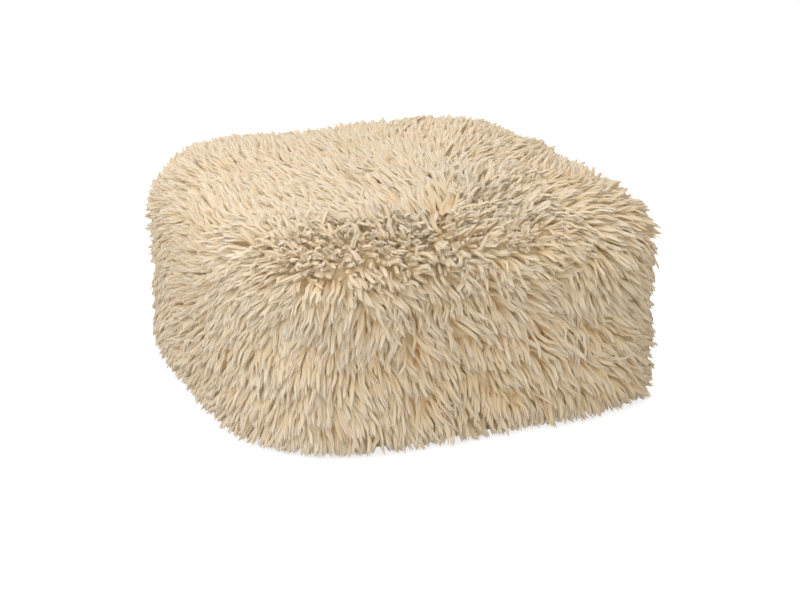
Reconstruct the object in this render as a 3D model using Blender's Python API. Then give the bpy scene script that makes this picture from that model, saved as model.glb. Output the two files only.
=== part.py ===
"""Shaggy floor pouf: one stuffed, square cushion under a long wool pile.

Metres, +Z up, origin on the floor under the middle of the pouf.

The pouf is one closed body. Its skin is the lumpy surface of the pile. Pointed
locks are fused to the skin by their roots: they fan out from a parting on the
top, lean over the shoulder and hang down the sides until they meet the floor.
"""

import math

import bmesh
import bpy
import numpy as np
from mathutils import Quaternion, Vector, noise
from mathutils.bvhtree import BVHTree

# Driving sizes, over the pile.
SIDE = 0.600
HEIGHT = 0.300

# How far the locks stand proud of the skin on the sides and on the top.
SIDE_PILE = 0.019
TOP_PILE = 0.018

# The outline from the side: flat crown, round shoulder, upright wall, drawn-in foot.
SHOULDER_SQUARENESS = 4.6
WIDEST_HEIGHT = 0.140
CROWN_RISE = 0.010
FOOT_TUCK = 0.022
FOOT_HEIGHT = 0.034
FOOT_SQUARENESS = 2.6
OUTLINE_STEPS = 400

# The plan is a square with soft corners. Each corner has its own stuffing:
# name, direction in degrees, squareness of the plan there, lift of the shoulder.
CORNERS = (
    ("front_left", 225, 3.9, -0.002),
    ("front_right", 315, 4.0, -0.004),
    ("back_right", 45, 4.9, 0.012),
    ("back_left", 135, 4.2, 0.010),
)

# The skin is a grid of quads, square on the crown and carried on down the wall.
CROWN_RINGS = 10
WALL_RINGS = 10

# Where the pile parts on the top, and the hollow that the parting leaves.
PARTING = Vector((0.050, -0.080, HEIGHT))
PARTING_WIDTH = 0.060
PARTING_DEPTH = 0.009

# Lumps of the pile: name, size across, size down the wall, height.
LUMPS = (
    ("clumps", 0.070, 0.110, 0.0060),
    ("swells", 0.150, 0.180, 0.0050),
)

# Locks grow from every second quad of every second ring, each row a step aside of the last.
LOCK_LENGTH = 0.072
LOCK_LENGTH_SPREAD = 0.10
LOCK_LEAN_SPREAD = math.radians(6)
LOCK_HUGS_SKIN = 0.7
FALL_OF_THE_COMB = 0.95

# A lock stops this far short of the middle of the next root in its path, or at the floor.
NEXT_ROOT_GAP = 0.006
PATH_WIDTH = 0.022
FLOOR_GAP = 0.0005
LEAST_FALL = 0.3

# Sections of a lock, the last one its point: how far along the comb and how far off
# the skin, as shares of the length, and half the width and thickness, as shares of the root's.
LOCK_SECTIONS = (
    (0.09, 0.16, 0.86, 0.50),
    (0.34, 0.26, 0.76, 0.40),
    (0.67, 0.28, 0.47, 0.27),
    (1.00, 0.22, 0.00, 0.00),
)

WOOL_COLOUR = (0.72, 0.60, 0.43, 1.0)
WOOL_ROUGHNESS = 0.92
SHARP_EDGE = math.radians(60)


def clear_scene():
    for obj in list(bpy.data.objects):
        bpy.data.objects.remove(obj, do_unlink=True)


def wool_material():
    material = bpy.data.materials.new("cream_wool")
    material.use_nodes = True
    shader = material.node_tree.nodes["Principled BSDF"]
    shader.inputs["Base Color"].default_value = WOOL_COLOUR
    shader.inputs["Roughness"].default_value = WOOL_ROUGHNESS
    shader.inputs["Metallic"].default_value = 0.0
    return material


def superellipse(angle, squareness):
    """Distance to a unit superellipse in this direction."""
    across = abs(math.cos(angle)) ** squareness
    along = abs(math.sin(angle)) ** squareness
    return (across + along) ** (-1 / squareness)


def corner_share(angle, corner_angle):
    """How much a corner rules in this direction: all of it at the corner, none a quarter turn away."""
    return max(0.0, math.cos(angle - math.radians(corner_angle))) ** 2


def blended(angle, column):
    """A column of the corner table, blended between the corners around the plan."""
    shares = [corner_share(angle, corner[1]) for corner in CORNERS]
    total = sum(share * corner[column] for share, corner in zip(shares, CORNERS))
    return total / sum(shares)


def skin_profile():
    """The skin's outline from the crown to the floor: share of the way, share of the plan, height."""
    half = SIDE / 2 - SIDE_PILE
    shoulder_rise = HEIGHT - TOP_PILE - CROWN_RISE - WIDEST_HEIGHT
    outline = []
    for angle in np.linspace(0, math.pi / 2, OUTLINE_STEPS):
        reach = superellipse(angle, SHOULDER_SQUARENESS)
        share = reach * math.sin(angle)
        crown = CROWN_RISE * (1 - share**2)
        outline.append((share, WIDEST_HEIGHT + shoulder_rise * reach * math.cos(angle) + crown))
    for angle in np.linspace(0, math.pi / 2, OUTLINE_STEPS):
        reach = superellipse(angle, FOOT_SQUARENESS)
        tuck = FOOT_TUCK * (1 - reach * math.cos(angle))
        outline.append((1 - tuck / half, FOOT_HEIGHT * (1 - reach * math.sin(angle))))
    shares, heights = np.array(outline).T
    run = np.concatenate([[0], np.cumsum(np.hypot(np.diff(shares) * half, np.diff(heights)))])
    return run / run[-1], shares, heights


def skin_point(angle, way_down, profile):
    """A point of the smooth skin, by its direction on the plan and its share of the way down."""
    run, shares, heights = profile
    share, height = np.interp(way_down, run, shares), np.interp(way_down, run, heights)
    plan = (SIDE / 2 - SIDE_PILE) * superellipse(angle, blended(angle, 2)) * share
    above = max(0.0, (height - WIDEST_HEIGHT) / (HEIGHT - WIDEST_HEIGHT))
    lift = blended(angle, 3) * share**2 * above
    return Vector((plan * math.cos(angle), plan * math.sin(angle), height + lift))


def bears_lock(ring, column):
    return ring % 2 == 0 and (column + ring // 2) % 2 == 0


def build_skin(mesh, profile):
    """The skin as a closed grid of quads with a flat base; gives the quads that locks grow from."""
    roots = []
    rings = CROWN_RINGS + WALL_RINGS
    places = range(-CROWN_RINGS, CROWN_RINGS + 1)
    crown = {}
    for i in places:
        for j in places:
            way_down = max(abs(i), abs(j)) / rings
            crown[i, j] = mesh.verts.new(skin_point(math.atan2(j, i), way_down, profile))
    for i in places[:-1]:
        for j in places[:-1]:
            corners = crown[i, j], crown[i + 1, j], crown[i + 1, j + 1], crown[i, j + 1]
            quad = mesh.faces.new(corners)
            if bears_lock(max(i + 1, -i, j + 1, -j), i + j):
                roots.append(quad)
    edge = CROWN_RINGS
    sides = ([(k, -edge) for k in places[:-1]], [(edge, k) for k in places[:-1]])
    around = sides[0] + sides[1] + [(-i, -j) for i, j in sides[0] + sides[1]]
    above = [crown[place] for place in around]
    for ring in range(CROWN_RINGS + 1, rings + 1):
        below = [
            mesh.verts.new(skin_point(math.atan2(j, i), ring / rings, profile)) for i, j in around
        ]
        for k in range(len(around)):
            quad = mesh.faces.new((above[k - 1], below[k - 1], below[k], above[k]))
            if ring < rings and bears_lock(ring, k):
                roots.append(quad)
        above = below
    mesh.faces.new(list(reversed(above)))
    return roots


def pile_lump(point):
    """Height of the lumps at a point of the skin: two sizes of swell, drawn out down the wall."""
    height = 0.0
    for _, across, down, rise in LUMPS:
        height += rise * noise.noise(Vector((point.x / across, point.y / across, point.z / down)))
    hollow = (point - PARTING).length_squared / PARTING_WIDTH**2
    return height - PARTING_DEPTH * math.exp(-hollow)


def raise_lumps(mesh):
    """Pushes the skin in and out along its normals; the base stays flat on the floor."""
    mesh.normal_update()
    normals = {vert: vert.normal.copy() for vert in mesh.verts}
    for vert, normal in normals.items():
        if vert.co.z < FLOOR_GAP:
            normal = Vector((normal.x, normal.y, 0)).normalized()
        vert.co += normal * pile_lump(vert.co)


def comb(point, normal):
    """The way the pile lies: out from the parting and down, along the skin."""
    out = Vector((point.x - PARTING.x, point.y - PARTING.y, 0)).normalized()
    way = out + Vector((0, 0, -FALL_OF_THE_COMB))
    return (way - way.project(normal)).normalized()


def lock_line(root, normal, way, length, skin):
    """The middles of a lock's sections: steps along the comb, drawn in as the skin curves away."""
    middles = []
    gone = 0.0
    for along, off, _, _ in LOCK_SECTIONS:
        ahead = root + way * (along - gone) * length
        near, near_normal, _, _ = skin.find_nearest(ahead)
        root = ahead.lerp(near, LOCK_HUGS_SKIN)
        normal = (normal + near_normal).normalized()
        way = (way - way.project(normal)).normalized()
        middles.append(root + normal * off * length)
        gone = along
    return middles


def root_turns(corners, way, side):
    """Which of the lock's four corners each corner of its root becomes, in quarter turns."""
    first = round(math.atan2(-corners[0].dot(way), corners[0].dot(side)) / (math.pi / 2))
    return [(first - step) * math.pi / 2 for step in range(4)]


def clear_run(root, way, roots):
    """How far a lock can run before it comes to the next root in its path."""
    ahead = roots - np.array(root)
    along = ahead @ np.array(way)
    aside = np.linalg.norm(ahead - np.outer(along, way), axis=1)
    in_path = (along > NEXT_ROOT_GAP) & (aside < PATH_WIDTH)
    return along[in_path].min(initial=SIDE) - NEXT_ROOT_GAP


def grow_lock(mesh, face, length, lean, skin, roots):
    """Extrudes one quad of the skin, section by section, into a curved lock with a point."""
    root = face.calc_center_median()
    normal = face.normal.copy()
    way = comb(root, normal)
    way.rotate(Quaternion(normal, lean))
    to_the_floor = (root.z - FLOOR_GAP) / max(LEAST_FALL, -way.z)
    length = min(length, to_the_floor, clear_run(root, way, roots))
    side = way.cross(normal)
    corners = [vert.co - root for vert in face.verts]
    turns = root_turns(corners, way, side)
    half = sum(corner.length for corner in corners) / len(corners)
    before = root
    middles = lock_line(root, normal, way, length, skin)
    for centre, (_, _, width, thickness) in zip(middles, LOCK_SECTIONS):
        centre.z = max(centre.z, FLOOR_GAP + half * thickness)
        line = (centre - before).normalized()
        across = (side - side.project(line)).normalized()
        rise = across.cross(line)
        face = bmesh.ops.extrude_discrete_faces(mesh, faces=[face])["faces"][0]
        for vert, turn in zip(face.verts, turns):
            sideways = across * (half * width * math.cos(turn))
            vert.co = centre + sideways + rise * (half * thickness * math.sin(turn))
        before = centre
    bmesh.ops.pointmerge(mesh, verts=face.verts[:], merge_co=before)


def grow_locks(mesh, quads):
    skin = BVHTree.FromBMesh(mesh)
    roots = np.array([quad.calc_center_median()[:] for quad in quads])
    chance = np.random.default_rng(3)
    for quad in quads:
        length = LOCK_LENGTH * (1 + LOCK_LENGTH_SPREAD * chance.uniform(-1, 1))
        lean = LOCK_LEAN_SPREAD * chance.uniform(-1, 1)
        grow_lock(mesh, quad, length, lean, skin, roots)


def fit_to_sizes(mesh):
    """Brings the finished pile to its driving sizes, standing on the floor over the origin."""
    places = np.array([vert.co[:] for vert in mesh.verts])
    low, high = places.min(axis=0), places.max(axis=0)
    scale = np.array((SIDE, SIDE, HEIGHT)) / (high - low)
    middle = Vector(((low[0] + high[0]) / 2, (low[1] + high[1]) / 2, low[2]))
    bmesh.ops.translate(mesh, vec=-middle, verts=mesh.verts[:])
    bmesh.ops.scale(mesh, vec=scale, verts=mesh.verts[:])


def build_pouf():
    mesh = bmesh.new()
    roots = build_skin(mesh, skin_profile())
    raise_lumps(mesh)
    mesh.normal_update()
    grow_locks(mesh, roots)
    fit_to_sizes(mesh)
    data = bpy.data.meshes.new("shaggy_pouf")
    mesh.to_mesh(data)
    mesh.free()
    data.shade_smooth()
    data.set_sharp_from_angle(angle=SHARP_EDGE)
    data.materials.append(wool_material())
    pouf = bpy.data.objects.new("shaggy_pouf", data)
    bpy.context.scene.collection.objects.link(pouf)


clear_scene()
build_pouf()
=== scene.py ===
# Shaggy floor pouf: a stuffed pad under a long, combed pile of wool.
# Metres, +Z up, -Y is the front. A lock of wool is a few strands laid round one line, and each
# strand is a closed, tapered tube grown out of the pad.
import math

import bpy
import numpy as np
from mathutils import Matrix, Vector


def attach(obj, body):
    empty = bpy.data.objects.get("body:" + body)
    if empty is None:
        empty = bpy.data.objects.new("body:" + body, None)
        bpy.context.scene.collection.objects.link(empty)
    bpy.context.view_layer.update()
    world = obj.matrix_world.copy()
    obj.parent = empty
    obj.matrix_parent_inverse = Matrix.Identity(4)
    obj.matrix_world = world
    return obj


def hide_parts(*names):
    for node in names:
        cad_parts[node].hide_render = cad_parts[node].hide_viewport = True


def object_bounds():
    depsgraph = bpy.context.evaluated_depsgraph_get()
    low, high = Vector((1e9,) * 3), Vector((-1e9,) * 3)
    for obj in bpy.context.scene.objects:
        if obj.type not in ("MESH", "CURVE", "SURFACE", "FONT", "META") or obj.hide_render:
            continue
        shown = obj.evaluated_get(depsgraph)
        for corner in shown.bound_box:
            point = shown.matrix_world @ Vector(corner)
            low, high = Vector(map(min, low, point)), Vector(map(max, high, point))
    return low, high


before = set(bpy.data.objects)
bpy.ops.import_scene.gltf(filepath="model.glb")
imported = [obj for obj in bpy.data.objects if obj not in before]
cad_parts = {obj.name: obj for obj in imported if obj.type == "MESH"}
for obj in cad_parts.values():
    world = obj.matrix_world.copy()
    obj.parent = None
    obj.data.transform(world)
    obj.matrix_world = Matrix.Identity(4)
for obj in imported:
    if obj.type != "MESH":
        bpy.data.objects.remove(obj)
cadLow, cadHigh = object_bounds()
bodyName = "root"
padNode = "shaggy_pouf"
fullSide = cadHigh.x - cadLow.x
fullHeight = cadHigh.z - cadLow.z
print("frame loaded, box", tuple(cadLow), tuple(cadHigh))


# the pad: a square cushion with a crown, soft corners and a drawn-in foot
pad = {
    "pileDepth": 0.040,      # how far the pad lies inside the finished outline, at the sides
    "topDepth": 0.036,       # the same at the top
    "crownRise": 0.012,
    "widestHeight": 0.135,
    "shoulderSquareness": 5.4,
    "footHeight": 0.040,
    "footTuck": 0.008,
    "footSquareness": 2.4,
    "cells": 10,             # the crown is a grid of 2 x 10 cells, the wall has 10 rows more
    "finer": 3,              # rows of the mesh to a cell
    "sharpAngle": 60,        # degrees, keeps the edge of the base sharp
    "fleece": 0.008,         # how far the dense wool at the roots fills the pile
    "fleeceRidge": 0.0022,
    "ridgeSizes": (0.016, 0.009),
    "fineRidge": 0.6,        # height of the small ridges as a share of the large ones'
    "partingFleece": 0.010,  # how much more fleece there is where the locks part
}

# direction in degrees, squareness of the plan there, lift of the shoulder
padCorners = {
    "frontLeft": (225, 4.1, -0.002),
    "frontRight": (315, 4.6, 0.002),
    "backRight": (45, 5.6, 0.018),
    "backLeft": (135, 4.8, 0.016),
}


# a vector divided by its own length
def unit(vectors):
    return vectors / np.maximum(np.linalg.norm(vectors, axis=-1, keepdims=True), 1e-12)


# dot product of two lists of vectors, kept as a column
def along(a, b):
    return np.sum(a * b, axis=-1, keepdims=True)


# radius of a unit superellipse: (|cos|^n + |sin|^n) ^ (-1/n)
def superRadius(angle, squareness):
    powers = np.abs(np.cos(angle)) ** squareness + np.abs(np.sin(angle)) ** squareness
    return powers ** (-1 / squareness)


# a corner's value spreads as cos^2 of the angle to it: sum of value * cos^2 / sum of cos^2
def cornerBlend(angle, column):
    total, weights = 0.0, 0.0
    for values in padCorners.values():
        share = np.maximum(0.0, np.cos(angle - math.radians(values[0]))) ** 2
        total = total + share * values[column]
        weights = weights + share
    return total / weights


# outline from the side: a superellipse quarter for the shoulder, another for the foot,
# read by the share of its own length
def padOutline(steps=400):
    half = fullSide / 2 - pad["pileDepth"]
    rise = fullHeight - pad["topDepth"] - pad["crownRise"] - pad["widestHeight"]
    turn = np.linspace(0, math.pi / 2, steps)
    reach = superRadius(turn, pad["shoulderSquareness"])
    share = reach * np.sin(turn)
    height = pad["widestHeight"] + rise * reach * np.cos(turn) + pad["crownRise"] * (1 - share ** 2)
    footReach = superRadius(turn, pad["footSquareness"])
    footShare = 1 - pad["footTuck"] / half * (1 - footReach * np.cos(turn))
    footHeight = pad["footHeight"] * (1 - footReach * np.sin(turn))
    share = np.concatenate([share, footShare])
    height = np.concatenate([height, footHeight])
    run = np.concatenate([[0], np.cumsum(np.hypot(np.diff(share) * half, np.diff(height)))])
    return run / run[-1], share, height


outline = padOutline()


# point = superellipse(angle) * outline share, outline height + corner lift near the shoulder
def padPoint(angle, wayDown):
    run, shares, heights = outline
    share = np.interp(wayDown, run, shares)
    height = np.interp(wayDown, run, heights)
    radius = (fullSide / 2 - pad["pileDepth"]) * superRadius(angle, cornerBlend(angle, 1)) * share
    above = np.clip((height - pad["widestHeight"]) / (fullHeight - pad["widestHeight"]), 0, 1)
    height = height + cornerBlend(angle, 2) * share ** 2 * above
    return np.stack([radius * np.cos(angle), radius * np.sin(angle), height], axis=-1)


# normal = (dP/dWay) x (dP/dAngle), by small differences
def padNormal(angle, wayDown):
    step = 1e-3
    down = padPoint(angle, np.minimum(wayDown + step, 1)) - padPoint(angle, np.maximum(wayDown - step, 0))
    around = padPoint(angle + step, wayDown) - padPoint(angle - step, wayDown)
    return unit(np.cross(down, around))


# a place on the crown's square grid: angle = atan2(y, x), way down = the larger of |x|, |y|
def crownCoordinates(x, y):
    return np.arctan2(y, x), np.maximum(np.abs(x), np.abs(y)) / (2 * pad["cells"])


# a place on the rim, counted in cells from the front right, and a row down the wall
def wallCoordinates(place, row):
    cells = pad["cells"]
    side, step = np.divmod(place, 2 * cells)
    angle = np.arctan2(step - cells, cells) + side * math.pi / 2
    return angle, row / (2 * cells)


# a smooth random field: the sum of plane waves cos(wave . point + phase) / sqrt(waves / 2)
def softNoise(points, size, seed, count=14):
    chance = np.random.default_rng(seed)
    waves = unit(chance.normal(size=(count, 3))) * chance.uniform(0.6, 1.4, (count, 1))
    waves = waves * 2 * math.pi / size
    phases = chance.uniform(0, 2 * math.pi, count)
    return np.cos(points @ waves.T + phases).sum(axis=1) / math.sqrt(count / 2)


# a piece at the origin, unturned and unscaled, with one material
def newObject(name, mesh, material):
    mesh.materials.append(material)
    piece = bpy.data.objects.new(name, mesh)
    bpy.context.scene.collection.objects.link(piece)
    return piece


# a new node with its settings; each input takes a plain value or another node's output
def addNode(tree, kind, inputs, **settings):
    node = tree.nodes.new(kind)
    for name, value in settings.items():
        setattr(node, name, value)
    for name, value in inputs.items():
        if isinstance(value, bpy.types.NodeSocket):
            tree.links.new(value, node.inputs[name])
        else:
            node.inputs[name].default_value = value
    return node


# a * b, each of them a plain number or another node's output
def product(tree, a, b):
    return addNode(tree, "ShaderNodeMath", {0: a, 1: b}, operation="MULTIPLY").outputs["Value"]


# mix of two colours: a (1 - share) + b share, or a * b where the blend is MULTIPLY
def mixColours(tree, a, b, share=1.0, blend="MIX"):
    inputs = {"Factor": share, "A": a, "B": b}
    return addNode(tree, "ShaderNodeMix", inputs, data_type="RGBA", blend_type=blend).outputs["Result"]


# wool, from the root of a strand to its tip, darker and warmer towards the root as painted shade of the deep
# pile.
# Its pattern follows the strands' own map: u holds the strand's tone and painted shade, in narrow bands, and
# inside a band how far the wool faces outwards, which sets the painted shade on the side facing the pad; v
# is the way from root to tip
wool = {
    # painted shade: the root colour darkens and warms the wool deep in the pile
    "rootShadeColour": (0.82, 0.50, 0.20, 1),
    "middleColour": (0.92, 0.79, 0.57, 1),
    "tipColour": (0.93, 0.87, 0.76, 1),
    "colourPlaces": (0.12, 0.50, 0.92),
    "undersideShadeTint": (0.98, 0.79, 0.50, 1),    # painted shade: multiplies the side of a strand that faces the pad
    "undersideShadeFrom": (0.30, 0.90),             # painted shade: outward shares between which the tint fades
    "darkToneAndShade": (0.95, 0.88, 0.76, 1),      # multiplies the darkest locks, made dark by random tone and by painted shade where they lie low
    "paleToneAndShade": (1.0, 1.0, 1.0, 1),
    "toneBands": 48,
    "bandReach": 0.42,                     # how far into half a band the outward share goes
    "fibresAcross": 380.0,                 # fibres over the whole dye lot and along a strand
    "fibresAlong": 3.0,
    "fibreDetail": 2.0,
    "fibreRoughness": 0.6,
    "fibreRange": (0.3, 0.7),              # noise values between which the streaks fade
    "streaks": (0.95, 1.04),               # brightness of the darkest and the palest fibres
    "roughness": (0.96, 0.80),
    "specular": 0.25,
    "sheen": 0.45,
    "sheenRoughness": 0.55,
    "sheenTint": (1.0, 0.84, 0.62, 1),
    "fibreBump": 0.35,
    "fibreDepth": 0.0006,
}


# fibres: noise at (u * across, v * along), with v, u and the fraction of u * bands put out beside it
def fibreGroup():
    group = bpy.data.node_groups.new("woolFibres", "ShaderNodeTree")
    for name in ("Across", "Along"):
        group.interface.new_socket(name=name, in_out="INPUT", socket_type="NodeSocketFloat")
    for name in ("Streaks", "Way", "ToneAndShade", "Outward"):
        group.interface.new_socket(name=name, in_out="OUTPUT", socket_type="NodeSocketFloat")
    given = addNode(group, "NodeGroupInput", {})
    uv = addNode(group, "ShaderNodeUVMap", {}, uv_map="OFBake")
    split = addNode(group, "ShaderNodeSeparateXYZ", {"Vector": uv.outputs["UV"]})
    toneAndShade, way = split.outputs["X"], split.outputs["Y"]
    across = product(group, toneAndShade, given.outputs["Across"])
    lengthwise = product(group, way, given.outputs["Along"])
    place = addNode(group, "ShaderNodeCombineXYZ", {"X": across, "Y": lengthwise})
    noise = addNode(group, "ShaderNodeTexNoise",
                    {"Vector": place.outputs["Vector"], "Scale": 1.0, "Detail": wool["fibreDetail"],
                     "Roughness": wool["fibreRoughness"]})
    bands = product(group, toneAndShade, wool["toneBands"])
    inBand = addNode(group, "ShaderNodeMath", {0: bands}, operation="FRACT")
    addNode(group, "NodeGroupOutput",
            {"Streaks": noise.outputs["Fac"], "Way": way, "ToneAndShade": toneAndShade, "Outward": inBand.outputs["Value"]})
    return group


# colour = ramp(way) * tone tint * underside tint * streaks; the ramp's darker root, the darker low-lying
# locks and the underside tint are painted shade
def woolMaterial(group):
    material = bpy.data.materials.new("creamWool")
    material.use_nodes = True
    tree = material.node_tree
    shader = tree.nodes["Principled BSDF"]
    shader.inputs["Metallic"].default_value = 0.0
    shader.inputs["Sheen Weight"].default_value = wool["sheen"]
    shader.inputs["Sheen Roughness"].default_value = wool["sheenRoughness"]
    shader.inputs["Sheen Tint"].default_value = wool["sheenTint"]
    shader.inputs["Specular IOR Level"].default_value = wool["specular"]
    fibres = addNode(tree, "ShaderNodeGroup", {}, node_tree=group)
    fibres.inputs["Across"].default_value = wool["fibresAcross"]
    fibres.inputs["Along"].default_value = wool["fibresAlong"]
    # painted shade: the ramp darkens and warms from the tip to the root, deep in the pile
    ramp = addNode(tree, "ShaderNodeValToRGB", {"Fac": fibres.outputs["Way"]})
    colours = ramp.color_ramp
    colours.interpolation = "EASE"
    rootPlace, middlePlace, tipPlace = wool["colourPlaces"]
    colours.elements[0].color = wool["rootShadeColour"]
    colours.elements[0].position = rootPlace
    colours.elements[1].color = wool["tipColour"]
    colours.elements[1].position = tipPlace
    colours.elements.new(middlePlace).color = wool["middleColour"]
    # the locks' tone: random, with painted shade on those lying low in their clumps and at the parting
    toneAndShade = mixColours(tree, wool["darkToneAndShade"], wool["paleToneAndShade"], fibres.outputs["ToneAndShade"])
    shadedTone = mixColours(tree, ramp.outputs["Color"], toneAndShade, blend="MULTIPLY")
    # painted shade: the side of each strand that faces the pad is tinted darker and warmer
    low, high = wool["undersideShadeFrom"]
    facing = addNode(tree, "ShaderNodeMapRange",
                     {"Value": fibres.outputs["Outward"], "From Min": low, "From Max": high},
                     interpolation_type="SMOOTHSTEP")
    undersideShade = mixColours(tree, wool["undersideShadeTint"], (1, 1, 1, 1), facing.outputs["Result"])
    undersideShaded = mixColours(tree, shadedTone, undersideShade, blend="MULTIPLY")
    darkest, palest = wool["streaks"]
    thin, thick = wool["fibreRange"]
    streaks = addNode(tree, "ShaderNodeMapRange",
                      {"Value": fibres.outputs["Streaks"], "From Min": thin, "From Max": thick,
                       "To Min": darkest, "To Max": palest})
    streaked = addNode(tree, "ShaderNodeVectorMath", {"Vector": undersideShaded, "Scale": streaks.outputs["Result"]},
                       operation="SCALE")
    tree.links.new(streaked.outputs["Vector"], shader.inputs["Base Color"])
    roughest, smoothest = wool["roughness"]
    rough = addNode(tree, "ShaderNodeMapRange",
                    {"Value": fibres.outputs["Streaks"], "To Min": roughest, "To Max": smoothest})
    tree.links.new(rough.outputs["Result"], shader.inputs["Roughness"])
    bump = addNode(tree, "ShaderNodeBump",
                   {"Strength": wool["fibreBump"], "Distance": wool["fibreDepth"],
                    "Height": fibres.outputs["Streaks"]})
    tree.links.new(bump.outputs["Normal"], shader.inputs["Normal"])
    return material


# the woven cloth under the pad, and the fleece above it
backing = {
    "threadPitch": 0.0016,
    "warpColour": (0.80, 0.66, 0.45, 1),
    "gapColour": (0.55, 0.40, 0.24, 1),
    "slubScale": 26.0,
    "slubDetail": 3.0,
    "slubShare": 0.5,         # how much of the tone comes from the slubs and from the weave
    "weaveShare": 0.7,
    "weaveBump": 0.5,
    "weaveDepth": 0.0005,
    # painted shade: the fleece is a darker, warmer tan than the wool, standing in for the shade deep in the
    # pile
    "fleeceShadeColour": (0.88, 0.68, 0.40, 1),
    "fleeceFrom": 0.006,      # height at which the weave gives way to wool
    "roughness": 0.93,
    "sheen": 0.15,
}


# plain weave: |sin x| where sin x sin y > 0 is false, |sin y| where it is true, on object coordinates
def backingMaterial():
    material = bpy.data.materials.new("wovenBacking")
    material.use_nodes = True
    tree = material.node_tree
    shader = tree.nodes["Principled BSDF"]
    shader.inputs["Metallic"].default_value = 0.0
    shader.inputs["Roughness"].default_value = backing["roughness"]
    shader.inputs["Sheen Weight"].default_value = backing["sheen"]
    coordinates = addNode(tree, "ShaderNodeTexCoord", {})
    place = coordinates.outputs["Object"]
    scaled = addNode(tree, "ShaderNodeMapping",
                     {"Vector": place, "Scale": (math.pi / backing["threadPitch"],) * 3})
    sine = addNode(tree, "ShaderNodeVectorMath", {0: scaled.outputs["Vector"]}, operation="SINE")
    heightOf = addNode(tree, "ShaderNodeVectorMath", {0: sine.outputs["Vector"]}, operation="ABSOLUTE")
    heights = addNode(tree, "ShaderNodeSeparateXYZ", {"Vector": heightOf.outputs["Vector"]})
    sides = addNode(tree, "ShaderNodeSeparateXYZ", {"Vector": sine.outputs["Vector"]})
    crossing = product(tree, sides.outputs["X"], sides.outputs["Y"])
    over = addNode(tree, "ShaderNodeMath", {0: crossing, 1: 0.0}, operation="GREATER_THAN")
    weave = addNode(tree, "ShaderNodeMix",
                    {"Factor": over.outputs["Value"], "A": heights.outputs["X"], "B": heights.outputs["Y"]},
                    data_type="FLOAT")
    slub = addNode(tree, "ShaderNodeTexNoise",
                   {"Vector": place, "Scale": backing["slubScale"], "Detail": backing["slubDetail"]})
    woven = product(tree, weave.outputs["Result"], backing["weaveShare"])
    tone = addNode(tree, "ShaderNodeMath", {0: slub.outputs["Fac"], 1: backing["slubShare"], 2: woven},
                   operation="MULTIPLY_ADD")
    cloth = mixColours(tree, backing["gapColour"], backing["warpColour"], tone.outputs["Value"])
    split = addNode(tree, "ShaderNodeSeparateXYZ", {"Vector": place})
    above = addNode(tree, "ShaderNodeMath", {0: split.outputs["Z"], 1: backing["fleeceFrom"]},
                    operation="GREATER_THAN")
    # painted shade: above the foot the pad takes the fleece's darker tan
    coat = mixColours(tree, cloth, backing["fleeceShadeColour"], above.outputs["Value"])
    tree.links.new(coat, shader.inputs["Base Color"])
    bump = addNode(tree, "ShaderNodeBump",
                   {"Strength": backing["weaveBump"], "Distance": backing["weaveDepth"],
                    "Height": weave.outputs["Result"]})
    tree.links.new(bump.outputs["Normal"], shader.inputs["Normal"])
    return material


# the pad with the dense wool on it: point + normal * fleece, ridged by noise, level with the base
# at the foot
def fleecePoint(angle, way):
    points, normals = padPoint(angle, way), padNormal(angle, way)
    flat = points.reshape(-1, 3)
    broad, fine = pad["ridgeSizes"]
    ridges = softNoise(flat, broad, 21) + pad["fineRidge"] * softNoise(flat, fine, 22)
    thickness = pad["fleece"] + pad["fleeceRidge"] * ridges.reshape(points.shape[:-1])
    thickness = thickness + pad["partingFleece"] * standing(flat).reshape(points.shape[:-1])
    thickness = thickness * np.clip(points[..., 2] / pad["footHeight"], 0, 1) ** 0.5
    points = points + normals * thickness[..., None]
    points[..., 2] = np.maximum(points[..., 2], 0)
    return points


# a square grid for the crown, then rings down the wall, closed by a flat base
def buildPad():
    finer = pad["finer"]
    cells = pad["cells"] * finer
    line = np.arange(-cells, cells + 1)
    gridX, gridY = np.meshgrid(line, line, indexing="ij")
    crown = fleecePoint(*crownCoordinates(gridX / finer, gridY / finer)).reshape(-1, 3)
    span = 2 * cells + 1
    number = np.arange(span * span).reshape(span, span)
    quads = np.stack([number[:-1, :-1], number[1:, :-1], number[1:, 1:], number[:-1, 1:]], axis=-1)
    rim = np.concatenate([number[-1, :-1], number[:0:-1, -1], number[0, :0:-1], number[:-1, 0]])
    place = np.arange(8 * cells) / finer
    rows = np.arange(1, cells + 1) / finer + pad["cells"]
    angle, way = wallCoordinates(place[None, :], rows[:, None])
    wall = fleecePoint(angle, way).reshape(-1, 3)
    rings = np.concatenate([rim[None, :], len(crown) + np.arange(len(wall)).reshape(len(rows), -1)])
    after = np.roll(rings, -1, axis=1)
    wallQuads = np.stack([rings[:-1], rings[1:], after[1:], after[:-1]], axis=-1)
    base = rings[-1][::-1]
    faces = np.concatenate([quads.reshape(-1, 4), wallQuads.reshape(-1, 4)]).tolist() + [base.tolist()]
    mesh = bpy.data.meshes.new("cushionPad")
    mesh.from_pydata(np.concatenate([crown, wall]).tolist(), [], faces)
    mesh.update()
    mesh.shade_smooth()
    mesh.set_sharp_from_angle(angle=math.radians(pad["sharpAngle"]))
    return newObject("cushionPad", mesh, backingMaterial())


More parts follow.
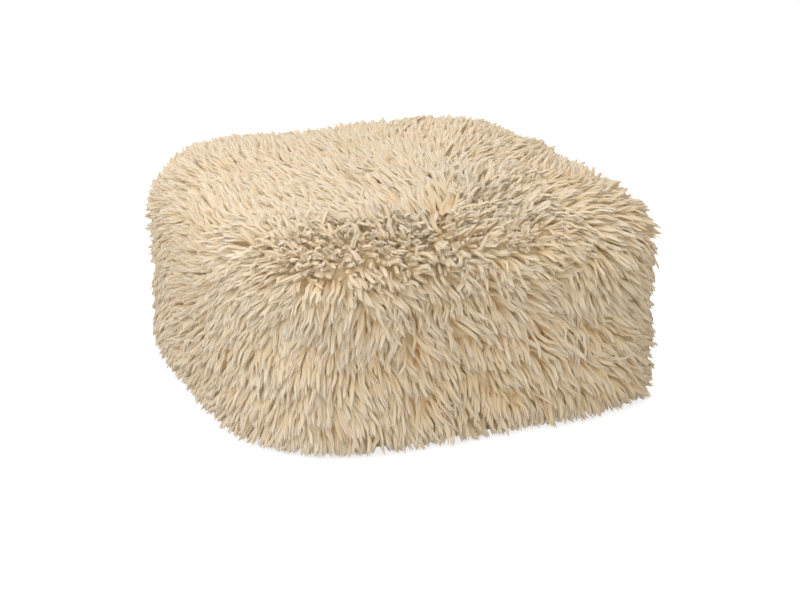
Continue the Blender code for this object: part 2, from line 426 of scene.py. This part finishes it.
# the pile: locks of wool, each of three strands, drawn together in clumps
pile = {
    "locksPerCell": 31.0,
    "clumpsPerCell": 1.15,
    "lowestRow": 19.2,        # row of the pad's 20 down to which locks grow
    "spreadDepth": 0.030,     # how far out the room for the tips is measured
    "partingFill": 2.2,       # how many more locks grow at the parting
    "mostSpread": 2.8,
    "plies": 3,
    "plySpace": 0.0013,
    "twist": (-3.0, 3.0),
    "fray": 0.4,
    "strandSpread": 0.14,
    "length": 0.050,
    "lengthSpread": 0.28,
    "partingCut": 0.26,       # share by which the standing locks are shorter
    "shortest": 0.25,         # least share of its length that a lock at the hem keeps
    "hemGap": 0.002,
    "halfWidth": 0.0020,
    "widthSpread": 0.20,
    "partingWidth": 0.05,     # share by which the standing strands are wider
    "flatness": 0.85,
    "mostTaper": 0.5,         # how much slimmer the slimmest strand gets towards its tip
    "sides": 3,
    "softNormals": 0.50,      # share of the pad's own normal in a strand's shading normals
    "partingSoftness": 0.3,   # how much more of it the standing strands have
    "rootLift": 1.28,         # how steeply a lock leaves the pad
    "tipLift": 0.12,
    "pull": (0.10, 0.42),     # how far a clump draws its tips together
    "sharedWave": 0.0024,     # sideways wave that the locks of a clump have in common
    "ownWave": 0.0011,
    "waveLength": 0.038,
    "shade": 0.55,            # middle of the tone and painted shade, lower is darker
    "seed": 11,
}

# the shorter, thicker strands under the long ones, which fill the pile's depth
underPile = dict(
    pile,
    locksPerCell=6.6,
    plies=1,
    plySpace=0.0,
    length=0.042,
    halfWidth=0.0042,
    flatness=0.55,
    rootLift=1.0,
    pull=(0.0, 0.2),
    # painted shade: the under strands are toned darker, as if in the shade of the long ones
    shade=0.35,
    seed=12,
)

# share of the length and of the half width, from the root to the point
strandProfile = np.array([
    (0.00, 0.78),
    (0.42, 1.00),
    (0.68, 1.00),
    (0.89, 0.70),
    (1.00, 0.00),
])

# how the pile is combed: strokes at places on the pouf (m), each with the way it sweeps.
# Between the strokes the ways blend
comb = {
    "reach": 0.085,
    "stand": 1.35,            # how much steeper the locks are along the parting, at the root
    "tipStand": 0.8,          # and at the tip, as a share of that
    "standReach": 0.062,
    "calm": 0.30,             # how unruly the pile is away from the lively places, 1 at them
    "livelyReach": 0.17,
    "livelyPlaces": ((-0.05, -0.26, 0.22), (0.10, -0.28, 0.15), (0.22, -0.26, 0.16), (0.04, -0.14, 0.28),
                     (-0.05, -0.29, 0.08)),
    # along the parting the locks stand up
    "parting": ((-0.21, -0.21, 0.26), (-0.15, -0.24, 0.26), (-0.09, -0.25, 0.26),
                (-0.02, -0.25, 0.26), (0.05, -0.24, 0.26), (0.03, -0.18, 0.28), (0.03, -0.13, 0.28)),
    "strokes": {
        "topBackLeft": ((-0.18, 0.20, 0.28), (0.00, 0.99, -0.10)),
        "topLeft": ((-0.22, 0.02, 0.28), (0.00, 1.00, 0.00)),
        "topMiddle": ((-0.05, 0.03, 0.29), (0.02, 1.00, 0.00)),
        "topBack": ((0.05, 0.20, 0.29), (0.00, 0.99, -0.10)),
        "topBackRight": ((0.20, 0.16, 0.28), (0.80, 0.58, -0.12)),
        "topRight": ((0.14, -0.10, 0.28), (0.88, 0.46, 0.00)),
        "topFrontLeft": ((-0.18, -0.13, 0.28), (-0.34, 0.93, 0.00)),
        "topFrontMiddle": ((-0.08, -0.15, 0.28), (-0.36, 0.60, 0.00)),
        "topFrontRight": ((0.12, -0.22, 0.27), (0.98, -0.15, -0.20)),
        "rightShoulder": ((0.26, -0.10, 0.25), (0.55, 0.80, -0.26)),
        "frontShoulderLeft": ((-0.15, -0.27, 0.23), (0.00, -0.50, -0.86)),
        "frontShoulderRight": ((0.00, -0.28, 0.23), (0.34, -0.48, -0.80)),
        "frontLeftCorner": ((-0.24, -0.25, 0.14), (-0.40, 0.28, -0.87)),
        "frontLeft": ((-0.17, -0.29, 0.12), (-0.18, 0.00, -0.98)),
        "frontMiddle": ((-0.08, -0.29, 0.14), (0.08, 0.00, -1.00)),
        "front": ((0.01, -0.29, 0.14), (0.30, 0.00, -0.95)),
        "frontRight": ((0.11, -0.29, 0.12), (0.48, 0.00, -0.88)),
        "frontRightCorner": ((0.22, -0.26, 0.12), (0.70, 0.30, -0.65)),
        "rightFront": ((0.29, -0.10, 0.12), (0.05, 0.72, -0.68)),
        "rightBack": ((0.29, 0.12, 0.12), (0.00, 0.50, -0.86)),
        "back": ((0.08, 0.29, 0.12), (0.20, 0.00, -0.98)),
        "backLeft": ((-0.14, 0.29, 0.12), (0.28, 0.00, -0.96)),
        "leftBack": ((-0.29, 0.10, 0.14), (0.00, 0.85, -0.53)),
        "left": ((-0.29, -0.08, 0.14), (-0.04, 0.74, -0.67)),
        "leftShoulder": ((-0.27, -0.05, 0.24), (-0.20, 0.93, -0.28)),
        "leftFront": ((-0.28, -0.19, 0.16), (-0.20, 0.44, -0.86)),
    },
}

# how much clumps, locks and strands differ. Patches are broad noise, with their size in metres
# first; the rest is chance from one to the next. "parting" adds to it where the locks stand up
unevenness = {
    "clumpJitter": 0.45,      # how far a root moves off its row, in steps of the row
    "lockJitter": 0.48,
    "broadTurn": (0.20, 0.20),
    "patchTurn": (0.08, 0.22),
    "clumpTurn": 0.16,
    "partingClumpTurn": 0.6,
    "lockTurn": 0.14,
    "partingLockTurn": 1.4,
    "patchLift": (0.09, 0.12),
    "clumpLift": 0.07,
    "lockLift": 0.10,
    "tipLift": 0.07,
    "patchLength": (0.08, 0.06),
    "calmest": 0.4,           # what the calmest locks keep of the turn and length of the liveliest
    "calmestPull": 0.3,
    "partingPull": 0.6,       # how much less the clumps draw together at the parting
    "lockPull": 0.2,
    "clumpSwing": (0.4, 1.4),
    "clumpBeat": (0.75, 1.3),
    "lockSwing": (0.3, 1.5),
    "lockBeat": (0.8, 1.4),
    "partingSwing": 1.5,
    "upwardShare": 0.4,       # share of the clump's wave that goes up and down
    "startJitter": 0.09,
    "patchShade": (0.05, 0.16),
    "lockShade": 0.12,
    "strandShade": 0.12,
    "paintedHeightShade": 40.0,      # painted shade: how much paler a lock is for each metre that it lies above its clump, darker below it
    # painted shade: the standing locks at the parting are toned darker and warmer
    "paintedPartingShade": -0.15,
    "plyRoom": (0.6, 1.25),
    "frayRoom": (-1, 1.4),
    "plyHeight": 0.7,         # height of the ring of strands against its width
}


# way the pile lies: the strokes' ways, each weighed by exp(-(distance / reach)^2), laid on the skin
def combWay(points, normals):
    total, weights = 0.0, 0.0
    for place, sweep in comb["strokes"].values():
        gap = np.sum((points - np.array(place)) ** 2, axis=1, keepdims=True)
        weight = np.exp(-gap / comb["reach"] ** 2) + 1e-9
        heading = np.array(sweep) - along(normals, np.array(sweep)) * normals
        total = total + weight * unit(heading)
        weights = weights + weight
    way = total / weights
    return unit(way - along(way, normals) * normals)


# nearness to the nearest of some places, from 0 to 1: exp(-(distance / reach)^2)
def nearness(points, places, reach):
    gaps = [np.sum((points - np.array(place)) ** 2, axis=1) for place in places]
    return np.exp(-np.min(gaps, axis=0) / reach ** 2)


# how far the locks stand up: nearness to the parting
def standing(points):
    return nearness(points, comb["parting"], comb["standReach"])


# how unruly the pile is: calm + (1 - calm) * nearness to the lively places
def liveliness(points):
    return comb["calm"] + (1 - comb["calm"]) * nearness(points, comb["livelyPlaces"], comb["livelyReach"])


# turns vectors about the normals: v cos + (n x v) sin
def turned(vectors, normals, angles):
    return vectors * np.cos(angles)[:, None] + np.cross(normals, vectors) * np.sin(angles)[:, None]


# a patch value: (size, amount) gives amount * noise(size)
def patches(points, sizeAndAmount, seed):
    size, amount = sizeAndAmount
    return amount * softNoise(points, size, seed)


# jittered rows on the crown's square grid and on the wall's rows, each row half a step on from
# the last, and thinned out where the tips have less room
def scatter(perCell, jitter, chance, thinned=False):
    cells = pad["cells"]
    pitch = 1 / math.sqrt(perCell)

    def rowsOf(width, height, wrap):
        rows = int(round(height / pitch))
        columns = int(round(width / pitch))
        y, x = np.meshgrid((np.arange(rows) + 0.5) / rows, np.arange(columns) / columns, indexing="ij")
        x = x + (np.arange(rows)[:, None] % 2 * 0.5 + 0.25) / columns
        x = x + chance.uniform(-jitter, jitter, x.shape) / columns
        y = y + chance.uniform(-jitter, jitter, y.shape) / rows
        return (x % 1 if wrap else np.clip(x, 0, 1)).ravel() * width, np.clip(y, 0, 1).ravel() * height

    x, y = rowsOf(2 * cells, 2 * cells, False)
    crown = crownCoordinates(x - cells, y - cells)
    place, row = rowsOf(8 * cells, pile["lowestRow"] - cells, True)
    wall = wallCoordinates(place, row + cells)
    angle, way = np.concatenate([crown[0], wall[0]]), np.concatenate([crown[1], wall[1]])
    onCrown = np.arange(len(angle)) < len(x)
    if thinned:
        kept = chance.random(len(angle)) < roomForTips(angle, way)
        angle, way, onCrown = angle[kept], way[kept], onCrown[kept]
    return angle, way, onCrown


# how much room there is for tips: (area at the tips / area at the pad), by small differences,
# more at the parting, as a share of the most allowed
def roomForTips(angle, way):
    step = 2e-3

    def area(depth):
        def place(a, w):
            return padPoint(a, w) + padNormal(a, w) * depth
        down = place(angle, np.minimum(way + step, 1)) - place(angle, np.maximum(way - step, 0))
        around = place(angle + step, way) - place(angle - step, way)
        return np.linalg.norm(np.cross(down, around), axis=1)

    stretch = area(pile["spreadDepth"]) / np.maximum(area(0.0), 1e-9)
    rising = standing(padPoint(angle, way) + padNormal(angle, way) * pile["spreadDepth"])
    return np.clip(stretch * (1 + pile["partingFill"] * rising) / pile["mostSpread"], 0, 1)


# the centre with the least squared distance to each point, worked out in blocks
def nearestOf(points, centres, blockSize=2000):
    nearest = np.empty(len(points), int)
    for start in range(0, len(points), blockSize):
        block = points[start:start + blockSize]
        gaps = ((block[:, None, :] - centres[None, :, :]) ** 2).sum(axis=2)
        nearest[start:start + blockSize] = gaps.argmin(axis=1)
    return nearest


# path(s): the sum of unit(normal * lift(s) + way) * length, lift falling as (1 - s)^1.5
def lockPaths(roots, normals, ways, lengths, lifts, tipLifts):
    shares = strandProfile[:, 0]
    points = [roots]
    for low, high in zip(shares[:-1], shares[1:]):
        middle = (low + high) / 2
        lift = lifts * (1 - middle) ** 1.5 + tipLifts
        heading = unit(normals * lift[:, None] + ways)
        points.append(points[-1] + heading * (lengths * (high - low))[:, None])
    return np.stack(points, axis=1)


# sideways wave: swing * share^0.7 * sin(2 pi (share * beats + start))
def wave(shares, swings, beats, starts):
    turns = shares[None, :] * beats[:, None] + starts[:, None]
    return swings[:, None] * shares[None, :] ** 0.7 * np.sin(2 * math.pi * turns)


# clumps: each has its own way (the comb's, turned by patches and chance), lift, length, pull and
# wave, and a guide line that its locks are drawn towards
def growClumps(coat, chance):
    angle, way, _ = scatter(coat["clumpsPerCell"], unevenness["clumpJitter"], chance)
    roots, normals = padPoint(angle, way), padNormal(angle, way)
    count = len(roots)
    outer = roots + normals * coat["spreadDepth"]
    rising, lively = standing(outer), liveliness(outer)
    drift = patches(roots, unevenness["broadTurn"], 1) + lively * patches(roots, unevenness["patchTurn"], 2)
    turnSpread = unevenness["clumpTurn"] * lively + unevenness["partingClumpTurn"] * rising
    ways = turned(combWay(outer, normals), normals, drift + chance.normal(0, 1, count) * turnSpread)
    liftNoise = patches(roots, unevenness["patchLift"], 3) + chance.normal(0, unevenness["clumpLift"], count)
    swell = 1 + lively * liftNoise
    lifts = coat["rootLift"] * swell + comb["stand"] * rising
    tips = coat["tipLift"] * swell + comb["tipStand"] * comb["stand"] * rising ** 2
    lengths = coat["length"] * (1 + patches(roots, unevenness["patchLength"], 4))
    lengths = lengths * (1 - coat["partingCut"] * rising)
    calmPull = unevenness["calmestPull"]
    pull = chance.uniform(*coat["pull"], count) * (calmPull + (1 - calmPull) * lively)
    swings = coat["sharedWave"] * chance.uniform(*unevenness["clumpSwing"], count) * lively
    return {
        "roots": roots, "rising": rising, "lively": lively, "ways": ways,
        "lifts": lifts, "tips": tips, "lengths": lengths,
        "guides": lockPaths(roots, normals, ways, lengths, lifts, tips),
        "pull": pull * (1 - unevenness["partingPull"] * rising),
        "swings": swings,
        "beats": lengths / coat["waveLength"] * chance.uniform(*unevenness["clumpBeat"], count),
        "starts": chance.uniform(0, 1, count),
    }


# locks: path = own path, drawn towards the clump's guide by pull * share^1.3, + the clump's wave
# and the lock's own
def growLocks(coat, chance, clumps):
    shares = strandProfile[:, 0]
    jitter = unevenness["lockJitter"]
    angle, way, onCrown = scatter(coat["locksPerCell"], jitter, chance, thinned=True)
    roots, normals = padPoint(angle, way), padNormal(angle, way)
    count = len(roots)
    clump = nearestOf(roots, clumps["roots"])
    rising, lively = clumps["rising"][clump], clumps["lively"][clump]
    calmest = unevenness["calmest"]
    loose = calmest + (1 - calmest) * lively
    looseness = unevenness["lockTurn"] * loose + unevenness["partingLockTurn"] * rising ** 2
    ways = turned(clumps["ways"][clump], normals, chance.normal(0, 1, count) * looseness)
    ways = unit(ways - along(ways, normals) * normals)
    lifts = clumps["lifts"][clump] * (1 + chance.normal(0, unevenness["lockLift"], count) * lively)
    tips = clumps["tips"][clump] + chance.normal(0, unevenness["tipLift"], count) * lively
    lengths = clumps["lengths"][clump] * (1 + coat["lengthSpread"] * loose * chance.uniform(-1, 1, count))
    paths = lockPaths(roots, normals, ways, lengths, lifts, tips)
    # a lock that would run into the floor is cut shorter
    fall = np.maximum(roots[:, 2] - paths[:, -1, 2], 1e-6)
    lengths = lengths * np.clip((roots[:, 2] - coat["hemGap"]) / fall, coat["shortest"], 1)
    paths = lockPaths(roots, normals, ways, lengths, lifts, tips)
    pull = clumps["pull"][clump] * (1 + chance.normal(0, unevenness["lockPull"], count))
    towards = clumps["guides"][clump] - paths
    towards = towards - along(towards, ways[:, None, :]) * ways[:, None, :]
    paths = paths + towards * (pull[:, None] * shares[None, :] ** 1.3)[:, :, None]
    swings = coat["ownWave"] * chance.uniform(*unevenness["lockSwing"], count)
    swings = swings * (1 + unevenness["partingSwing"] * rising)
    beats = lengths / coat["waveLength"] * chance.uniform(*unevenness["lockBeat"], count)
    starts = clumps["starts"][clump] + chance.normal(0, unevenness["startJitter"], count)
    sideways = wave(shares, clumps["swings"][clump], clumps["beats"][clump], starts)
    sideways = sideways + wave(shares, swings, beats, chance.uniform(0, 1, count))
    upSwings = swings + unevenness["upwardShare"] * clumps["swings"][clump]
    upwards = wave(shares, upSwings, beats, chance.uniform(0, 1, count))
    across = np.cross(ways, normals)
    paths = paths + across[:, None, :] * sideways[:, :, None] + normals[:, None, :] * upwards[:, :, None]
    # a lock that lies above the others of its clump is paler and one below them darker, as painted shade;
    # the locks of the parting are painted darker and warmer too; the rest is tone that differs at random
    height = along(paths[:, 3] - roots, normals)[:, 0]
    many = len(clumps["roots"])
    usual = np.bincount(clump, height, many) / np.maximum(np.bincount(clump, minlength=many), 1)
    toneAndShade = coat["shade"] + patches(roots, unevenness["patchShade"], 6)
    toneAndShade = toneAndShade + chance.normal(0, unevenness["lockShade"], count)
    toneAndShade = toneAndShade + unevenness["paintedHeightShade"] * (height - usual[clump]) + unevenness["paintedPartingShade"] * rising
    return {"roots": roots, "normals": normals, "paths": paths, "rising": rising, "toneAndShade": toneAndShade,
            "onCrown": onCrown}


# strands: path = lock's path + room * (level cos turn + plyHeight upright sin turn), the turn going
# round with the way along the lock
def plyStrands(coat, chance, locks):
    shares = strandProfile[:, 0]
    plies, count = coat["plies"], len(locks["roots"])
    whole = np.repeat(np.arange(count), plies)
    strands = len(whole)
    roots, paths, rising = locks["roots"][whole], locks["paths"], locks["rising"][whole]
    heading = unit(np.gradient(paths, axis=1))
    level = unit(np.cross(locks["normals"][:, None, :], heading))
    upright = np.cross(heading, level)
    turn = np.tile(np.arange(plies) * 2 * math.pi / plies, count)
    turn = turn + chance.uniform(0, 2 * math.pi, count)[whole]
    turn = turn[:, None] + (chance.uniform(*coat["twist"], count)[whole])[:, None] * shares[None, :]
    room = coat["plySpace"] * chance.uniform(*unevenness["plyRoom"], strands)[:, None]
    fray = chance.uniform(*unevenness["frayRoom"], strands)[:, None]
    room = room * (1 + coat["fray"] * fray * shares[None, :] ** 4)
    longer = 1 - coat["strandSpread"] * chance.uniform(0, 1, strands)
    strandPaths = roots[:, None, :] + (paths[whole] - roots[:, None, :]) * longer[:, None, None]
    strandPaths = strandPaths + level[whole] * (room * np.cos(turn))[:, :, None]
    raised = unevenness["plyHeight"] * room * np.sin(turn)
    strandPaths = strandPaths + upright[whole] * raised[:, :, None]
    halfWidths = coat["halfWidth"] * (1 + coat["widthSpread"] * chance.uniform(-1, 1, strands))
    toneAndShade = locks["toneAndShade"][whole] + chance.normal(0, unevenness["strandShade"], strands)
    return {
        "roots": roots, "normals": locks["normals"][whole], "paths": strandPaths,
        "halfWidths": halfWidths * (1 + coat["partingWidth"] * rising),
        "tapers": chance.uniform(0.0, coat["mostTaper"], strands) * (1 - rising),
        "rolls": chance.uniform(0, 2 * math.pi, strands),
        "softness": coat["softNormals"] + coat["partingSoftness"] * rising,
        "toneAndShade": np.clip(toneAndShade, 0, 1), "onCrown": locks["onCrown"][whole],
    }


# clumps first, then the locks, each led by its clump, then the strands of each lock
def growPile(coat):
    chance = np.random.default_rng(coat["seed"])
    clumps = growClumps(coat, chance)
    return plyStrands(coat, chance, growLocks(coat, chance, clumps))


# one strand's faces, as vertex numbers and face sizes: quads between the rings, triangles to the
# point and a cap at the root
def strandFaces(rings, sides):
    ring, step = np.meshgrid(np.arange(rings - 1), np.arange(sides), indexing="ij")
    ring, step = ring.ravel(), step.ravel()
    after = (step + 1) % sides
    quads = np.stack([ring * sides + step, ring * sides + after,
                      (ring + 1) * sides + after, (ring + 1) * sides + step], axis=1)
    steps = np.arange(sides)
    last = (rings - 1) * sides
    tips = np.stack([last + steps, last + (steps + 1) % sides, np.full(sides, rings * sides)], axis=1)
    loops = np.concatenate([quads.ravel(), tips.ravel(), steps[::-1]])
    sizes = np.concatenate([np.full(len(quads), 4), np.full(sides, 3), [sides]])
    return loops, sizes


# a strand = the profile swept along its path: ring point = path + r (side cos a + rise flat sin a),
# kept off the floor, with the point of the strand as its last vertex
def sweepStrands(name, strands, chosen, coat, material, floorGap=0.0006):
    sides, flatness = coat["sides"], coat["flatness"]
    paths, normals = strands["paths"][chosen].copy(), strands["normals"][chosen]
    count, rings = len(paths), paths.shape[1] - 1
    shares = strandProfile[:-1, 0]
    narrowing = 1 - strands["tapers"][chosen][:, None] * shares[None, :] ** 3
    radii = strands["halfWidths"][chosen][:, None] * strandProfile[None, :-1, 1] * narrowing
    paths[:, :-1, 2] = np.maximum(paths[:, :-1, 2], floorGap + radii)
    paths[:, -1, 2] = np.maximum(paths[:, -1, 2], floorGap)
    heading = unit(np.gradient(paths, axis=1)[:, :-1])
    level = unit(np.cross(normals[:, None, :], heading))
    upright = np.cross(heading, level)
    roll = strands["rolls"][chosen][:, None, None]
    side = level * np.cos(roll) + upright * np.sin(roll)
    rise = np.cross(heading, side)
    turn = (np.arange(sides) * 2 * math.pi / sides)[None, None, :, None]
    side, rise, radii = side[:, :, None, :], rise[:, :, None, :], radii[:, :, None, None]
    ringPoints = paths[:, :-1, None, :] + radii * side * np.cos(turn)
    ringPoints = ringPoints + radii * flatness * rise * np.sin(turn)
    points = np.concatenate([ringPoints.reshape(count, rings * sides, 3), paths[:, -1:, :]], axis=1)
    # each ring point's own outward way, and how far that faces away from the pad
    own = side * np.cos(turn) + rise / flatness * np.sin(turn)
    own = np.concatenate([unit(own).reshape(count, rings * sides, 3), heading[:, -1:, :]], axis=1)
    outward = np.sum(own * normals[:, None, :], axis=2)
    # u = band of the tone and painted shade + outward share, which sets the painted shade on the side facing
    # the pad, kept off the band's edges; v = way from root to tip
    toneBands = wool["toneBands"]
    band = np.floor(strands["toneAndShade"][chosen] * (toneBands - 0.01))[:, None]
    pointU = (band + 0.5 + wool["bandReach"] * outward) / toneBands
    pointV = np.concatenate([np.repeat(shares, sides), [1.0]])
    # the same faces for every strand, their numbers moved on
    loops, sizes = strandFaces(rings, sides)
    perStrand = rings * sides + 1
    allLoops = (loops[None, :] + (np.arange(count) * perStrand)[:, None]).ravel()
    allSizes = np.tile(sizes, count)
    starts = np.concatenate([[0], np.cumsum(allSizes)[:-1]])
    uv = np.stack([pointU[:, loops], np.tile(pointV[loops], (count, 1))], axis=2)
    mesh = bpy.data.meshes.new(name)
    mesh.vertices.add(count * perStrand)
    mesh.vertices.foreach_set("co", points.astype(np.float32).ravel())
    mesh.loops.add(len(allLoops))
    mesh.loops.foreach_set("vertex_index", allLoops.astype(np.int32))
    mesh.polygons.add(len(allSizes))
    mesh.polygons.foreach_set("loop_start", starts.astype(np.int32))
    mesh.update(calc_edges=True)
    layer = mesh.uv_layers.new(name="OFBake")
    layer.uv.foreach_set("vector", uv.astype(np.float32).ravel())
    mesh.shade_smooth()
    mesh.update()
    # the wool's soft look: each point's shading normal leans towards the pad's
    share = strands["softness"][chosen][:, None, None]
    soft = unit(own * (1 - share) + normals[:, None, :] * share)
    mesh.normals_split_custom_set_from_vertices(soft.reshape(-1, 3).tolist())
    print(name, count, "strands", count * int((sizes - 2).sum()), "triangles")
    return newObject(name, mesh, material)


padPiece = buildPad()
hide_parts(padNode)
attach(padPiece, bodyName)
print("pad", len(padPiece.data.polygons), "faces")

# the long strands, in six pieces by where they are rooted
longPile = growPile(pile)
rootX, rootY = longPile["roots"][:, 0], longPile["roots"][:, 1]
onCrown = longPile["onCrown"]
onFlank = ~onCrown & (np.abs(rootX) > np.abs(rootY))
onFace = ~onCrown & ~onFlank
regions = {
    "pileTopFront": onCrown & (rootY < 0),
    "pileTopBack": onCrown & (rootY >= 0),
    "pileFront": onFace & (rootY < 0),
    "pileBack": onFace & (rootY >= 0),
    "pileLeft": onFlank & (rootX < 0),
    "pileRight": onFlank & (rootX >= 0),
}
woolFinish = woolMaterial(fibreGroup())
shortPile = growPile(underPile)
everyStrand = np.full(len(shortPile["roots"]), True)
piece = sweepStrands("pileUnder", shortPile, everyStrand, underPile, woolFinish)
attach(piece, bodyName)
for regionName, chosen in regions.items():
    piece = sweepStrands(regionName, longPile, chosen, pile, woolFinish)
    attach(piece, bodyName)


# floor, sky, lights and camera
studio = {
    "floorColour": (0.60, 0.60, 0.60, 1),
    "floorRoughness": 0.85,
    "floorShine": 1.12,       # what the camera alone sees the floor give off
    "floorReach": 24.0,
    "floorHeight": -0.0005,
    "skyShine": 1.7,          # the same for the sky
    "skyColour": (0.98, 0.865, 0.67, 1),
    "skyFrom": (-0.72, -0.30, 0.62),    # way to the bright side of the sky
    "skyTurn": -0.3,          # cosine of the angle from skyFrom at which the sky is at its dimmest
    "skyDim": 0.55,
    "skyBright": 1.05,
    # place, power, size and colour of each lamp, all aimed at the middle of the pouf
    "lamps": {
        "keyLight": ((-2.1, -1.0, 1.7), 26, 2.2, (0.96, 1.0, 1.12)),
        "topLight": ((-0.6, -0.2, 2.6), 41, 2.6, (0.96, 1.0, 1.12)),
        "fillLight": ((-0.75, -2.15, 0.95), 9, 1.6, (1.0, 0.96, 0.90)),
        "backLight": ((1.7, 1.9, 1.2), 12, 2.0, (1.0, 0.98, 0.96)),
    },
    "azimuth": -22.7,
    "elevation": 17.0,
    "distance": 2.25,
    "lens": 77,
    "aimRight": 0.010,        # how far the aim lies right of and below the pouf's middle
    "aimDown": 0.0555,
    "viewTransform": "Standard",
    "look": "Low Contrast",
}


# one square, grey to the wool and white to the camera
def addFloor():
    reach = studio["floorReach"]
    corners = [(-reach, -reach, 0), (reach, -reach, 0), (reach, reach, 0), (-reach, reach, 0)]
    mesh = bpy.data.meshes.new("studioFloor")
    mesh.from_pydata(corners, [], [(0, 1, 2, 3)])
    material = bpy.data.materials.new("paleFloor")
    material.use_nodes = True
    tree = material.node_tree
    shader = tree.nodes["Principled BSDF"]
    shader.inputs["Base Color"].default_value = studio["floorColour"]
    shader.inputs["Roughness"].default_value = studio["floorRoughness"]
    shader.inputs["Emission Color"].default_value = (1, 1, 1, 1)
    seen = addNode(tree, "ShaderNodeLightPath", {})
    shown = product(tree, seen.outputs["Is Camera Ray"], studio["floorShine"])
    tree.links.new(shown, shader.inputs["Emission Strength"])
    floor = newObject("studioFloor", mesh, material)
    floor.location = (0, 0, studio["floorHeight"])


# sky: colour * (dim to bright by direction . skyFrom), plain white to the camera
def addSky():
    world = bpy.data.worlds.new("studioWorld")
    world.use_nodes = True
    tree = world.node_tree
    background = tree.nodes["Background"]
    seen = addNode(tree, "ShaderNodeLightPath", {}).outputs["Is Camera Ray"]
    colour = mixColours(tree, studio["skyColour"], (1, 1, 1, 1), seen)
    where = addNode(tree, "ShaderNodeTexCoord", {})
    towards = addNode(tree, "ShaderNodeVectorMath", {0: where.outputs["Generated"], 1: studio["skyFrom"]},
                      operation="DOT_PRODUCT")
    sky = addNode(tree, "ShaderNodeMapRange",
                  {"Value": towards.outputs["Value"], "From Min": studio["skyTurn"],
                   "To Min": studio["skyDim"], "To Max": studio["skyBright"]})
    strength = addNode(tree, "ShaderNodeMix",
                       {"Factor": seen, "A": sky.outputs["Result"], "B": studio["skyShine"]},
                       data_type="FLOAT")
    tree.links.new(colour, background.inputs["Color"])
    tree.links.new(strength.outputs["Result"], background.inputs["Strength"])
    bpy.context.scene.world = world


# a square lamp whose own Z points away from the pouf's middle
def addLamp(name, place, power, size, colour):
    lamp = bpy.data.lights.new(name, "AREA")
    lamp.energy = power
    lamp.size = size
    lamp.color = colour
    lampObject = bpy.data.objects.new(name, lamp)
    bpy.context.scene.collection.objects.link(lampObject)
    lampObject.location = place
    aim = Vector(place) - Vector((0, 0, fullHeight / 2))
    lampObject.rotation_euler = aim.to_track_quat("Z", "Y").to_euler()


# place = middle + back * distance, with back = (sin az cos el, -cos az cos el, sin el)
def addCamera():
    azimuth, elevation = math.radians(studio["azimuth"]), math.radians(studio["elevation"])
    level = math.cos(elevation)
    back = Vector((math.sin(azimuth) * level, -math.cos(azimuth) * level, math.sin(elevation)))
    right = Vector((math.cos(azimuth), math.sin(azimuth), 0))
    up = back.cross(right)
    middle = Vector((0, 0, fullHeight / 2))
    place = middle + back * studio["distance"]
    target = middle + right * studio["aimRight"] - up * studio["aimDown"]
    camera = bpy.data.cameras.new("camera")
    camera.lens = studio["lens"]
    cameraObject = bpy.data.objects.new("camera", camera)
    bpy.context.scene.collection.objects.link(cameraObject)
    cameraObject.location = place
    cameraObject.rotation_euler = (place - target).to_track_quat("Z", "Y").to_euler()
    bpy.context.scene.camera = cameraObject


addSky()
addFloor()
for lampName, (place, power, size, colour) in studio["lamps"].items():
    addLamp(lampName, place, power, size, colour)
addCamera()
bpy.context.scene.view_settings.view_transform = studio["viewTransform"]
bpy.context.scene.view_settings.look = studio["look"]
print("studio", len(studio["lamps"]), "lamps")

bpy.context.view_layer.update()
